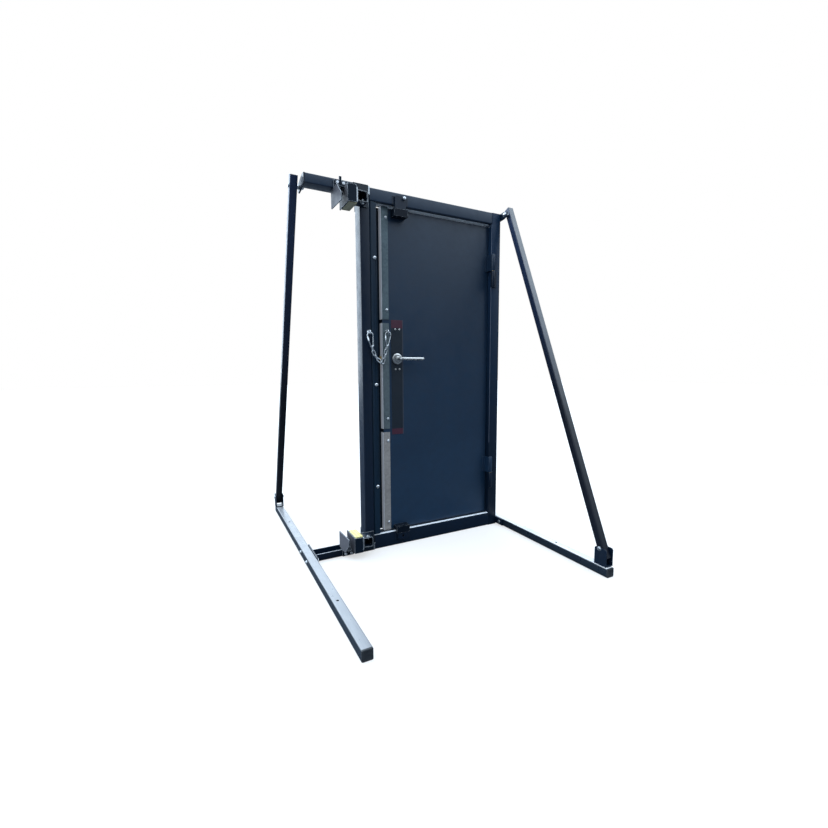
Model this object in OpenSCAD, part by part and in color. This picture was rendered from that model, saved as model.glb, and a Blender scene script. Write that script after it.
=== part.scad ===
// Free-standing forcible-entry training door.
// A hinged steel leaf hangs in a tube frame. The latch post slides sideways on two
// rails and crushes a wood block at each end when the leaf is pried open. Two ground
// beams and two leaning braces keep the frame upright.
// Millimetres, +Z up, +X towards the hinge side (right), +Y away from the pull side (back).
// Z = 0 is the floor. Pieces are laid out with X = 0 on the hinge jamb's outer face and
// Y = 0 on the frame's front face, then moved by world().

/* [Frame] */
// overall height of the door frame
frame_h = 2150; // [2050:10:2250]
// depth of the frame tubes
tube_d = 80; // [76:1:90]
// height of the sill tube
sill_h = 92; // [84:1:96]
// wall of the frame tubes
wall = 4; // [2:0.5:5]

/* [Leaf] */
// leaf thickness, skins included
leaf_t = 40; // [36:1:42]
// sheet thickness of each skin
skin_t = 1.5; // [1:0.5:2]
// width of the galvanised edge strips
strip_w = 46; // [40:1:50]

/* [Ground beams] */
// side of the square ground beam
beam_w = 50; // [46:1:52]
// diameter of the anchor holes in the beams
anchor_d = 13; // [10:1:16]

/* [Braces] */
// side of the square brace tube
brace_w = 42; // [38:1:43]

/* [Motion] */
// width of each wood block before it is crushed
block_w = 48; // [42:1:48]

/* [Hidden] */
$fn = 48;

// shift that brings the middle of the footprint to the origin
origin_shift = [661, -64, 0];

navy = [0.10, 0.15, 0.22];
zinc = [0.74, 0.77, 0.80];
galv = [0.45, 0.50, 0.54];
black = [0.03, 0.04, 0.05];
timber = [0.86, 0.80, 0.52];
inox = [0.70, 0.72, 0.74];
brass = [0.75, 0.60, 0.30];
primer = [0.08, 0.11, 0.16];

// large and small bolts, with the radius of their clearance holes
big_bolt_r = 6;
big_hole_r = 6.2;
small_bolt_r = 5;
small_hole_r = 5.2;

// ---- helpers ----
module world() { translate(origin_shift) children(); }
module box(low, high) { translate(low) cube(high - low); }
module along_x() { rotate([0, 90, 0]) children(); }
module along_minus_x() { rotate([0, -90, 0]) children(); }
module along_y() { rotate([-90, 0, 0]) children(); }
module bar_x(start, radius, length) { translate(start) along_x() cylinder(r = radius, h = length); }
module bar_y(start, radius, length) { translate(start) along_y() cylinder(r = radius, h = length); }

// turned over about the frame's mid height
module mid_mirror() { translate([0, 0, frame_h]) mirror([0, 0, 1]) children(); }
module both_ends() {
  children();
  mid_mirror() children();
}

// open-ended rectangular tube between two corners, hollow along axis 0, 1 or 2
module tube(low, high, thick, axis) {
  inset = [for (i = [0:2]) i == axis ? -1 : thick];
  difference() {
    box(low, high);
    box(low + inset, high - inset);
  }
}

// flat plate in the YZ plane running from x towards -X; points are [z, y]
module plate_yz(x, thick, points) {
  translate([x, 0, 0]) along_minus_x() linear_extrude(thick) polygon(points);
}

module ring(outer_r, inner_r, height) {
  difference() {
    cylinder(r = outer_r, h = height);
    translate([0, 0, -1]) cylinder(r = inner_r, h = height + 2);
  }
}

// hexagon bolt along +Z: head below zero, shank above
module hex_bolt(radius, head_r, head_h, length) {
  translate([0, 0, -head_h]) cylinder(r = head_r, h = head_h, $fn = 6);
  translate([0, 0, -0.01]) cylinder(r = radius, h = length + 0.01);
}
module big_bolt(length) { hex_bolt(big_bolt_r, 10, 8, length); }
module big_nut() { cylinder(r = 10, h = 8, $fn = 6); }

// domed bolt along +Z; rim lists [radius, height] from the crown to the seat at zero
module dome_bolt(rim, radius, length) {
  head_h = rim[len(rim) - 1][1];
  translate([0, 0, -head_h]) rotate_extrude() polygon(concat([[0, 0]], rim, [[0, head_h]]));
  translate([0, 0, -0.01]) cylinder(r = radius, h = length);
}

// ---- ground beams ----
beam_left_x = -1350;   // centre lines
beam_right_x = 37;
beam_front = -917;
beam_back = 1045;
square_tube_wall = 3;  // beams and braces
anchor_y = [-540, 600];
flange_bolt_y = [-35, 115];
flange_bolt_z = 26;

module ground_beam(x) {
  difference() {
    tube([x - beam_w / 2, beam_front, 0], [x + beam_w / 2, beam_back, beam_w],
      square_tube_wall, 1);
    for (y = anchor_y) translate([x, y, -1]) cylinder(d = anchor_d, h = beam_w + 2);
    for (y = flange_bolt_y) bar_x([x - beam_w, y, flange_bolt_z], 6.3, 2 * beam_w);
  }
}
module ground_beams() color(galv) world() {
  ground_beam(beam_left_x);
  ground_beam(beam_right_x);
}

// hollow plug along +Y behind an end plate with bevelled corners
module beam_cap() {
  half = beam_w / 2;
  plate_t = 8;
  plug = half - 3.2;
  bore = half - 6;
  translate([0, 0, half]) difference() {
    union() {
      rotate([90, 0, 0]) linear_extrude(plate_t) square([beam_w, beam_w], center = true);
      box([-plug, 0, -plug], [plug, 24, plug]);
    }
    box([-bore, 2, -bore], [bore, 30, bore]);
    for (side = [-1, 1]) for (level = [-1, 1])
      translate([side * half, -plate_t, level * half])
        rotate([0, 45, 0]) cube([6, 10, 6], center = true);
  }
}
module beam_caps() color(black) world() {
  for (x = [beam_left_x, beam_right_x]) {
    translate([x, beam_front, 0]) beam_cap();
    translate([x, beam_back, 0]) mirror([0, 1, 0]) beam_cap();
  }
}

// ---- braces ----
// bolt centres; the left brace runs down to the back, the right one down to the front
left_top = [-1350, 116, 2121];
left_foot = [-1350, 1009, 122];
right_top = [45, -44, 2135];
right_foot = [45, -862, 142];
foot_half_gap = 22.5;  // half the width between the cheeks of a foot bracket
foot_t = 5;
foot_half_w = foot_half_gap + foot_t;

// tube through both bolt centres, with an overhang beyond each
module brace(top, foot, over_top, over_foot) {
  lean = atan2(foot[1] - top[1], top[2] - foot[2]);
  length = norm(top - foot);
  half = brace_w / 2;
  translate(top) rotate([lean, 0, 0]) difference() {
    tube([-half, -half, -length - over_foot], [half, half, over_top], square_tube_wall, 2);
    for (z = [0, -length]) bar_x([-brace_w, 0, z], big_hole_r, 2 * brace_w);
  }
}
module braces() color(navy) world() {
  brace(left_top, left_foot, 58, 48);
  brace(right_top, right_foot, 46, 58);
}

module foot_bracket(bolt, front, back) {
  x = bolt[0];
  top_z = 148;
  difference() {
    union() {
      box([x - foot_half_w, front, beam_w], [x - foot_half_gap, back, top_z]);
      box([x + foot_half_gap, front, beam_w], [x + foot_half_w, back, top_z]);
      box([x - foot_half_w, front, beam_w], [x + foot_half_w, back, beam_w + foot_t]);
    }
    bar_x([x - 60, bolt[1], bolt[2]], big_hole_r, 120);
  }
}
module foot_brackets() color(navy) world() {
  foot_bracket(left_foot, 968, 1040);
  foot_bracket(right_foot, -908, -832);
}

// same height and depth as a bolt centre, at another x
function shift_to_x(centre, x) = [x, centre[1], centre[2]];

module brace_bolts() color(zinc) world() {
  // top bolts through ear, spacer and brace, heads outside
  translate(shift_to_x(left_top, -1380)) along_x() big_bolt(78);
  translate(shift_to_x(left_top, -1302.01)) along_x() big_nut();
  translate(shift_to_x(right_top, 75)) along_minus_x() big_bolt(82);
  translate(shift_to_x(right_top, -15)) along_x() big_nut();
  // foot bolts through both cheeks
  for (centre = [left_foot, right_foot]) {
    translate(centre - [foot_half_w, 0, 0]) along_x() big_bolt(58);
    translate(centre + [foot_half_w, 0, 0]) along_x() big_nut();
  }
}
module brace_spacers() color(zinc) world() {
  translate(shift_to_x(left_top, -1329)) along_x() ring(11, big_hole_r, 11);
  translate(shift_to_x(right_top, 8)) along_x() ring(11, big_hole_r, 16);
}

// ---- door frame ----
jamb_x = -72;                // inner face of the hinge jamb
frame_left = -945;           // left end of header and sill
head_z = frame_h - 72;       // underside of the header
rail_flange_t = 8;
rail_right = frame_left - rail_flange_t;
head_rail_left = -1310;
sill_rail_left = -1317;
rail_h = 43;
rail_z = frame_h - rail_h;   // underside of the header rail
head_rail_top = frame_h + 8;
bracket_bolt_x = [-1136, -1101];
bracket_bolt_z = 14;         // above the floor, and below the top of the frame
beam_flange_back = 150;

module header() color(navy) world()
  tube([frame_left, 0, head_z], [jamb_x, tube_d, frame_h], wall, 0);
module sill() color(navy) world() tube([frame_left, 0, 0], [jamb_x, tube_d, sill_h], wall, 0);
// closed at the top
module hinge_jamb() color(navy) world() difference() {
  box([jamb_x, 0, 0], [0, tube_d, frame_h]);
  box([jamb_x + wall, wall, -1], [-wall, tube_d - wall, frame_h - wall]);
}

module bracket_bolt_holes(y, z, length) {
  for (x = bracket_bolt_x) bar_y([x, y, z], small_hole_r, length);
}
module header_rail() color(navy) world() difference() {
  tube([head_rail_left, 0, rail_z], [rail_right, tube_d, head_rail_top], wall, 0);
  bracket_bolt_holes(-5, frame_h - bracket_bolt_z, 20);
}
// channel open at the top
module sill_rail() color(navy) world() difference() {
  box([sill_rail_left, 0, 0], [rail_right, tube_d, rail_h]);
  box([sill_rail_left - 1, wall, wall], [rail_right + 1, tube_d - wall, 60]);
  bracket_bolt_holes(-5, bracket_bolt_z, 20);
}
// plates between the rails and the ends of header and sill
module rail_flanges() color(zinc) world() {
  box([rail_right, -3, rail_z], [frame_left, tube_d + 3, frame_h + 3]);
  box([rail_right, -3, 0], [frame_left, tube_d + 3, rail_h]);
}

module beam_flange(low, high) {
  difference() {
    box(low, high);
    for (y = flange_bolt_y) bar_x([low[0] - 15, y, flange_bolt_z], big_hole_r, 40);
  }
}
module beam_flanges() color(navy) world() {
  beam_flange([-1325, -60, 4], [sill_rail_left, beam_flange_back, 52]);
  beam_flange([0, -70, 4], [12, beam_flange_back, 50]);
}
// heads on the flanges' inner faces, nuts on the outer sides of the beams
module flange_bolts() color(zinc) world() for (y = flange_bolt_y) {
  translate([sill_rail_left, y, flange_bolt_z]) along_minus_x() big_bolt(58);
  translate([-1375, y, flange_bolt_z]) along_minus_x() big_nut();
  translate([0, y, flange_bolt_z]) along_x() big_bolt(62);
  translate([62, y, flange_bolt_z]) along_x() big_nut();
}

// plates that join the frame to the brace tops
module brace_ears() color(navy) world() {
  ear_t = 8;
  // left: end plate of the header rail with an ear running back to the brace
  difference() {
    plate_yz(head_rail_left, ear_t, [
      [rail_z, 0], [head_rail_top, 0], [frame_h + 12, 34],
      [2146, 134], [2108, 144], [2094, 130], [2096, 84]]);
    bar_x(shift_to_x(left_top, -1330), big_hole_r, 30);
  }
  // right: lug on the jamb's outer face running forward to the brace
  difference() {
    plate_yz(ear_t, ear_t, [
      [2102, 60], [2148, 60], [2156, -30], [2150, -62], [2122, -64], [2110, -30]]);
    bar_x(shift_to_x(right_top, -10), big_hole_r, 30);
  }
}

// ---- fixed stop brackets that hold the wood blocks ----
block_left = -1102;
push_x = block_left + block_w;  // face of the push plate
block_front = -88;              // front of block, push plate and pusher
block_back = 33;
bracket_t = 6;
bracket_left = -1156;
bracket_front = -97;
bracket_back = 50;
bracket_flange_t = 8;           // flange on the front of the rail
block_z = rail_h + bracket_t;   // underside of the lower block

module stop_bracket() {
  difference() {
    union() {
      // base on the rail, and its extension under the block
      box([bracket_left, -50, rail_h], [block_left, bracket_back, block_z]);
      box([block_left - 1, -92, rail_h], [-1082, block_back, block_z]);
      // left side plate
      plate_yz(bracket_left + bracket_t, bracket_t, [
        [rail_h, bracket_back], [140, bracket_back], [150, -132], [112, -132],
        [70, -86], [rail_h, -62]]);
      // plate on the left of the block, and plate in front of it
      box([block_left - bracket_t, bracket_front, rail_h], [block_left, bracket_back, 138]);
      box([block_left - 1, bracket_front, rail_h],
        [push_x - 3, bracket_front + bracket_t, 134]);
      box([bracket_left, -bracket_flange_t, 2], [-1086, 0, block_z]);
    }
    bracket_bolt_holes(-20, bracket_bolt_z, 40);
  }
}
module stop_brackets() color(navy) world() {
  both_ends() stop_bracket();
  // lug standing up from the front flange of the upper bracket
  box([-1125, -bracket_flange_t, frame_h - 10], [-1111, 0, frame_h + 22]);
}
module bracket_bolts() color(zinc) world()
  for (x = bracket_bolt_x) for (z = [bracket_bolt_z, frame_h - bracket_bolt_z])
    translate([x, -bracket_flange_t, z]) along_y() hex_bolt(small_bolt_r, 8.5, 6, 20);

module wood_block() {
  box([block_left, block_front, block_z], [push_x, block_back, 140]);
}
module wood_block_bottom() color(timber) world() wood_block();
module wood_block_top() color(timber) world() mid_mirror() wood_block();

// ---- sliding latch post ----
post_left = -1006;
post_right = -948;     // right face of the post's main tube
stop_bar_right = -905; // right face of the stop bar's hollow part
post_gap = 2;          // post stands this far out of the frame, front and back
stop_lip_x = -846;     // right edge of the lip at the back of the stop bar
post_bolt_z = [1764, 1024, 397];
post_bolt_x = -918;
cheek_t = 8;
cheek_right = -955;
pusher_left = -1048;
pusher_bolt = [-1014, -70, 122];

module latch_post() color(navy) world()
  tube([post_left, -post_gap, 45], [post_right, tube_d + post_gap, frame_h - 47], wall, 2);
module post_stop_bar() color(navy) world() difference() {
  // outer and inner outlines, [x, y]
  translate([0, 0, sill_h + 2]) linear_extrude(head_z - sill_h - 4) difference() {
    polygon([
      [post_right, 11], [post_right + 9, 2], [stop_bar_right, 2], [stop_bar_right, 79],
      [stop_lip_x, 79], [stop_lip_x, 85], [post_right, 85]]);
    polygon([
      [post_right + 4, 12.6], [post_right + 10.6, 6], [stop_bar_right - 4, 6],
      [stop_bar_right - 4, 75], [post_right + 4, 75]]);
  }
  for (z = post_bolt_z) bar_y([post_bolt_x, -10, z], small_hole_r, 30);
}
module post_bolts() color(zinc) world() for (z = post_bolt_z)
  translate([post_bolt_x, 2, z]) along_y()
    dome_bolt([[6, 0], [9.5, 2.2], [11, 5], [11, 7]], small_bolt_r, 14);

module cheek_pair() {
  post_back = tube_d + post_gap;
  box([pusher_left, -post_gap - cheek_t, 3], [cheek_right, -post_gap, 125]);
  box([post_left, post_back, 3], [cheek_right, post_back + cheek_t, 125]);
}
module slider_cheeks() color(navy) world() {
  cheek_pair();
  mid_mirror() translate([0, 0, -8]) cheek_pair();
}

module pusher_tube() {
  difference() {
    tube([pusher_left, block_front, 64], [-990, -post_gap - cheek_t, pusher_bolt[2]], 4, 1);
    translate([pusher_bolt[0], pusher_bolt[1], 90]) cylinder(r = small_hole_r, h = 50);
  }
}
module pusher_tubes() color(navy) world() both_ends() pusher_tube();
module push_plates() color(zinc) world() both_ends()
  box([push_x, block_front, 52], [pusher_left, 30, 128]);
module pusher_bolts() color(zinc) world() both_ends()
  translate(pusher_bolt) mirror([0, 0, 1]) hex_bolt(small_bolt_r, 9, 8, 16);

// ---- leaf ----
leaf_left = -861;
leaf_right = -76;
leaf_front = 36;
leaf_back = leaf_front + leaf_t;
leaf_bottom = sill_h + 5;
leaf_top = frame_h - 84;
leaf_border = 50;      // width of the frame around the leaf's windows
rib_z = [700, 1500];   // centre heights of the cross ribs
rib_half = 20;
strip_t = 3;
strip_bolt_x = -831;
strip_bolt_z = [2012, 1474, 809, 670, 145];
hole_front = 20;       // leaf holes are cut from this y
hand_x = -764;         // lever axis
hand_z = 1181;
lock_screw_x = [-775, -748];
lock_screw_z = [1360, 1116];
lock_plate_t = 1.5;
latch_front = 47;
latch_back = 65;
latch_half_h = 16;
latch_play = 0.1;      // clearance around the latch bolt
latch_nose = leaf_left - 15;

module strip_bolt_holes(length) {
  for (z = strip_bolt_z) bar_y([strip_bolt_x, hole_front, z], small_hole_r, length);
}
module lock_screw_holes(radius) {
  for (x = lock_screw_x) for (z = lock_screw_z) bar_y([x, hole_front, z], radius, 40);
}
module spindle_hole(radius, length) { bar_y([hand_x, hole_front, hand_z], radius, length); }
module latch_slot(left, right) {
  box([left, latch_front - latch_play, hand_z - latch_half_h - latch_play],
    [right, latch_back + latch_play, hand_z + latch_half_h + latch_play]);
}

module leaf_frame() color(primer) world() {
  front = leaf_front + skin_t;
  back = leaf_back - skin_t;
  sheet = 3;
  windows = [ // bottom, top
    [leaf_bottom + leaf_border, rib_z[0] - rib_half],
    [rib_z[0] + rib_half, rib_z[1] - rib_half],
    [rib_z[1] + rib_half, leaf_top - leaf_border]];
  difference() {
    box([leaf_left, front, leaf_bottom], [leaf_right, back, leaf_top]);
    // hollow, with the ribs left solid
    difference() {
      box([leaf_left + sheet, front + sheet, leaf_bottom + sheet],
        [leaf_right - sheet, back - sheet, leaf_top - sheet]);
      for (z = rib_z)
        box([leaf_left, leaf_front, z - rib_half], [leaf_right, leaf_back, z + rib_half]);
    }
    for (window = windows)
      box([leaf_left + leaf_border, leaf_front - 1, window[0]],
        [leaf_right - leaf_border, leaf_back + 1, window[1]]);
    latch_slot(leaf_left - 1, leaf_left + 51);
    strip_bolt_holes(25);
  }
}
module leaf_skins() color(navy) world() {
  difference() {
    box([leaf_left, leaf_front, leaf_bottom], [leaf_right, leaf_front + skin_t, leaf_top]);
    spindle_hole(12, 40);
    lock_screw_holes(3);
    strip_bolt_holes(40);
  }
  box([leaf_left, leaf_back - skin_t, leaf_bottom], [leaf_right, leaf_back, leaf_top]);
}

// angle around the leaf's front left edge
module edge_strip(bottom, top) {
  corner = [leaf_left - strip_t, leaf_front - strip_t, bottom];
  box(corner, [leaf_left - strip_t + strip_w, leaf_front, top]);
  box(corner, [leaf_left, leaf_back - 8, top]);
}
module edge_strips() color(galv) world() difference() {
  union() {
    edge_strip(leaf_bottom - 2, 726);
    edge_strip(748, 1396);
    edge_strip(1418, leaf_top + 7);
  }
  strip_bolt_holes(40);
  latch_slot(leaf_left - 10, leaf_left + 5);
}
module strip_bolts() color(zinc) world() for (z = strip_bolt_z)
  translate([strip_bolt_x, leaf_front - strip_t, z]) along_y()
    dome_bolt([[5, 0], [8, 1.6], [9.5, 3.6], [9.5, 5]], small_bolt_r, 7);

// ---- lock and lever ----
module lock_plate() color(primer) world() difference() {
  box([-803, leaf_front - lock_plate_t, 709], [-722, leaf_front, 1418]);
  spindle_hole(12, 40);
  lock_screw_holes(3);
}
module lock_screws() color(inox) world() for (x = lock_screw_x) for (z = lock_screw_z)
  translate([x, leaf_front - lock_plate_t, z]) along_y()
    dome_bolt([[3.5, 0], [5.6, 1.2], [6.2, 2.6], [6.2, 3.5]], 2.5, 8);
module lock_case() color(galv) world() difference() {
  box([-810, leaf_front + skin_t, 1095], [-728, 72, 1385]);
  box([-807, 42, 1100], [-731, 69, 1380]);
  spindle_hole(12.1, 60);
  latch_slot(-812, -800);
  lock_screw_holes(2.6);
}
// [radius, distance in front of the lock plate]
module rose() color(inox) world()
  translate([hand_x, leaf_front - lock_plate_t, hand_z]) rotate([90, 0, 0]) rotate_extrude()
    polygon([
      [10.05, 0], [34, 0], [34, 5], [31, 9.5], [26, 12], [15, 12], [12, 11], [10.05, 11]]);
module lever() color(inox) world() translate([hand_x, 0, hand_z]) {
  bar_r = 10;
  elbow_r = 9.8;
  bend_r = 16;
  elbow_y = -8;
  grip_y = elbow_y - bend_r;
  // neck out of the rose, quarter-round elbow, straight bar with a round end
  bar_y([0, -9, 0], bar_r, leaf_front + 7);
  translate([bend_r, elbow_y, 0]) rotate([0, 0, 180])
    rotate_extrude(angle = 90) translate([bend_r, 0]) circle(elbow_r);
  bar_x([15, grip_y, 0], bar_r, 136);
  translate([150, grip_y, 0]) sphere(elbow_r);
}
module spindle() color(galv) world() translate([hand_x, leaf_front - 2, hand_z]) along_y() {
  cylinder(r = 10, h = 10);
  translate([0, 0, 10]) cylinder(r = 11.9, h = 28);
}
module latch_bolt() color(brass) world() difference() {
  box([latch_nose, latch_front, hand_z - latch_half_h],
    [-800, latch_back, hand_z + latch_half_h]);
  // bevel on the back of the nose
  translate([latch_nose, latch_back, hand_z - 20])
    rotate([0, 0, 45]) translate([-8, -8, 0]) cube([16, 16, 40]);
}

// ---- safety chain ----
// snap hook in the XZ plane: big bow at the origin, small bow below, wires tangent to both
big_r = 17;
small_r = 8;
bow_gap = 60;
taper = asin((big_r - small_r) / bow_gap);
wire_r = 4;
small_centre = [0, 0, -bow_gap];
gate_pivot = [small_r * cos(taper), 0, -bow_gap - small_r * sin(taper)];

// arc of round wire in the XZ plane, angles from +X towards +Z
module bow(radius, from, to, wire) {
  rotate([90, 0, 0]) rotate([0, 0, from])
    rotate_extrude(angle = to - from) translate([radius, 0]) circle(wire);
}
module rod(start, end, radius) {
  span = end - start;
  translate(start) rotate([0, acos(span[2] / norm(span)), atan2(span[1], span[0])])
    cylinder(r = radius, h = norm(span));
}

module snap_body() {
  open_angle = 27;                       // small bow stops this far short of the gate
  tip_angle = taper + open_angle;
  side = [-cos(taper), 0, -sin(taper)];  // bow centre to the fixed wire
  down = [sin(taper), 0, -cos(taper)];   // along the fixed wire
  tip = small_centre + small_r * [cos(tip_angle), 0, -sin(tip_angle)];
  bow(big_r, -taper + 8, 180 + taper, wire_r);
  rod(big_r * side - 0.6 * down, small_centre + small_r * side + 0.6 * down, wire_r + 0.15);
  translate(small_centre) bow(small_r, 180 + taper, 360 - tip_angle, wire_r);
  // fork that carries the gate's pin
  for (y = [-4.7, 3.3]) {
    bar_y(gate_pivot + [0, y, 0], 4.4, 1.4);
    bar_y(tip + [0, y, 0], 3.4, 1.4);
  }
  bar_y(gate_pivot - [0, 4, 0], 1.5, 8);
}
module snap_gate() {
  top = big_r * [cos(taper), 0, -sin(taper)];
  down = (gate_pivot - top) / norm(gate_pivot - top);
  difference() {
    union() {
      rod(top - 0.5 * down, gate_pivot, 3.1);
      bar_y(gate_pivot - [0, 3.2, 0], 3.4, 6.4);
    }
    bar_y(gate_pivot - [0, 6, 0], 1.56, 12);
  }
}

// oval link centred on the origin, seen face-on in the XZ plane
link_pitch = 28;
link_r = 3;
link_bow_r = 8;
module link() {
  half = link_pitch / 2 + 0.3 + link_r - link_bow_r;
  translate([0, 0, half]) bow(link_bow_r, 0, 180, link_r);
  translate([0, 0, -half]) bow(link_bow_r, 180, 360, link_r);
  for (side = [-1, 1])
    translate([side * link_bow_r, 0, -half]) cylinder(r = link_r, h = 2 * half);
}

// Each half of the chain hangs from a snap hook and leans over more with every link.
// Angles are from straight down towards +X.
post_snap = [-961, -17, 1314];
post_tilt = 8.3;
leaf_snap = [-832, 16, 1324];
leaf_tilt = -7;
eye_offset = [-2, 0, 19.6];  // snap hook to its eye
link_count = 4;

function hang_dir(angle) = [sin(angle), 0, -cos(angle)];
function hang(start, angle, step, i) =
  i == 0 ? start
  : hang(start, angle, step, i - 1) + link_pitch * hang_dir(angle + step * (i - 1));

module chain_links(snap, tilt, angle, step) {
  start = snap + bow_gap * hang_dir(tilt) + (link_r + 0.4) * hang_dir(angle);
  // every other link is turned edge-on
  for (i = [0:link_count - 1])
    translate((hang(start, angle, step, i) + hang(start, angle, step, i + 1)) / 2)
      rotate([0, -(angle + step * i), 0]) rotate([0, 0, i % 2 == 0 ? 90 : 0]) link();
}
module chain_links_post() color(zinc) world() chain_links(post_snap, post_tilt, 14, 12);
module chain_links_leaf() color(zinc) world() chain_links(leaf_snap, leaf_tilt, -12, -2);

module hung(place, tilt) { translate(place) rotate([0, -tilt, 0]) children(); }
module snap_post() color(zinc) world() hung(post_snap, post_tilt) snap_body();
module snap_gate_post() color(zinc) world() hung(post_snap, post_tilt) snap_gate();
module snap_leaf() color(zinc) world() hung(leaf_snap, leaf_tilt) snap_body();
module snap_gate_leaf() color(zinc) world() hung(leaf_snap, leaf_tilt) snap_gate();

// ring in the YZ plane with a disc on the face behind it
module chain_eye(snap, face_y) {
  disc_t = 3;
  translate(snap + eye_offset) {
    rotate([0, 0, 90]) bow(11, 0, 360, 3.5);
    bar_y([0, face_y - snap[1] - disc_t, 0], 12, disc_t);
  }
}
module chain_eye_post() color(zinc) world() chain_eye(post_snap, -post_gap);
module chain_eye_leaf() color(zinc) world() chain_eye(leaf_snap, leaf_front - strip_t);

// ---- hinges ----
hinge_x = -70;         // hinge axis
hinge_y = -14;
knuckle_r = 13;
hinge_bore_r = 8;
hinge_seat = 8;        // solid bottom of the jamb half
leaf_half_gap = 2.05;  // between the two halves, filled by the washer
hinges = [[1666, 104], [284, 106]]; // bottom z, height of each half

module on_hinge_axis(z) { translate([hinge_x, hinge_y, z]) children(); }
module hinge_jamb_half(z, height) {
  difference() {
    union() {
      on_hinge_axis(z) cylinder(r = knuckle_r, h = height);
      box([hinge_x - 4, -7, z], [-34, 0, z + height]);
    }
    on_hinge_axis(z + hinge_seat) cylinder(r = hinge_bore_r, h = height);
  }
}
module hinge_leaf_half(z, height) {
  bottom = z + height + leaf_half_gap;
  top = bottom + height;
  difference() {
    union() {
      on_hinge_axis(bottom) cylinder(r = knuckle_r, h = height);
      box([hinge_x - 17, hinge_y - 2, bottom], [hinge_x - 10, leaf_front, top]);
      box([hinge_x - 28, leaf_front - 6, bottom], [hinge_x - 10, leaf_front, top]);
    }
    on_hinge_axis(z + height) cylinder(r = hinge_bore_r, h = height - 6);
  }
}
module hinge_jamb_halves() color(navy) world()
  for (hinge = hinges) hinge_jamb_half(hinge[0], hinge[1]);
module hinge_leaf_halves() color(navy) world()
  for (hinge = hinges) hinge_leaf_half(hinge[0], hinge[1]);
module hinge_pins() color(zinc) world() for (hinge = hinges)
  on_hinge_axis(hinge[0] + hinge_seat) cylinder(r = 7.95, h = 2 * hinge[1] - 22);
module hinge_washers() color(brass) world() for (hinge = hinges)
  on_hinge_axis(hinge[0] + hinge[1]) ring(12, 8.1, 2);

// ---- sliding stops on the leaf that overlap the frame ----
tongue_left = -790;
tongue_right = -717;
tongue_front = -12;
tongue_back = -2;
tongue_play = 0.2;
pad_t = 1.8;

module housing(z) {
  difference() {
    box([-799, -17, z], [-709, leaf_front, z + 42]);
    box([tongue_left - tongue_play, tongue_front - tongue_play, z - 4],
      [tongue_right + tongue_play, tongue_back + tongue_play, z + 46]);
  }
}
// flat tongue with two clipped corners at the end that meets the frame
module tongue(z, height) {
  difference() {
    box([tongue_left, tongue_front, z], [tongue_right, tongue_back, z + height]);
    for (x = [tongue_left, tongue_right]) translate([x, tongue_front - 1, z + height])
      rotate([0, 45, 0]) translate([-5, 0, -5]) cube([10, 12, 10]);
  }
}
module stop_housings() color(navy) world() {
  housing(frame_h - 136);
  // the lower one is stepped to pass over the sill
  difference() {
    housing(81);
    box([-800, -2.2, 70], [-708, leaf_front + 1, sill_h + 4]);
  }
}
module stop_tongue_top() color(navy) world() tongue(frame_h - 130, 110);
module stop_knob_top() color(zinc) world()
  translate([-732, tongue_front, frame_h - 31]) rotate([90, 0, 0]) {
    cylinder(r = 6, h = 5);
    translate([0, 0, 4.9]) cylinder(r = 10, h = 7);
  }
module stop_tongue_bottom() color(navy) world() difference() {
  translate([0, 0, 118]) mirror([0, 0, 1]) tongue(0, 84);
  bar_y([(tongue_left + tongue_right) / 2, -20, 56], 9, 30);
}
// wear pads on the header and the sill, behind the tongues
module stop_pads() color(navy) world() {
  box([-805, -pad_t, 2081], [-703, 0, 2128]);
  box([-803, -pad_t, 37], [-705, 0, 88]);
}

ground_beams();
beam_caps();
foot_brackets();
braces();
brace_bolts();
brace_spacers();
brace_ears();
header();
sill();
hinge_jamb();
header_rail();
sill_rail();
rail_flanges();
beam_flanges();
flange_bolts();
stop_brackets();
bracket_bolts();
wood_block_top();
wood_block_bottom();
latch_post();
post_stop_bar();
post_bolts();
slider_cheeks();
pusher_tubes();
push_plates();
pusher_bolts();
chain_eye_post();
snap_post();
snap_gate_post();
chain_links_post();
leaf_frame();
leaf_skins();
edge_strips();
strip_bolts();
lock_plate();
lock_screws();
lock_case();
rose();
lever();
spindle();
latch_bolt();
hinge_leaf_halves();
hinge_jamb_halves();
hinge_pins();
hinge_washers();
stop_housings();
stop_tongue_top();
stop_knob_top();
stop_tongue_bottom();
stop_pads();
chain_eye_leaf();
snap_leaf();
snap_gate_leaf();
chain_links_leaf();
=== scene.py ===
# Free-standing forcible-entry training door: a hinged leaf in a steel frame that stands on two
# ground beams held by braces, with a sliding latch post backed by softwood blocks.
# Its front faces -Y, the hinge jamb is at +X and the latch post at -X, and Z is up.
# Lengths are millimetres from the hinge jamb's outer front edge on the floor, unless marked metres.
import math

import bmesh
import bpy
from mathutils import Matrix, Vector, noise


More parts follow.
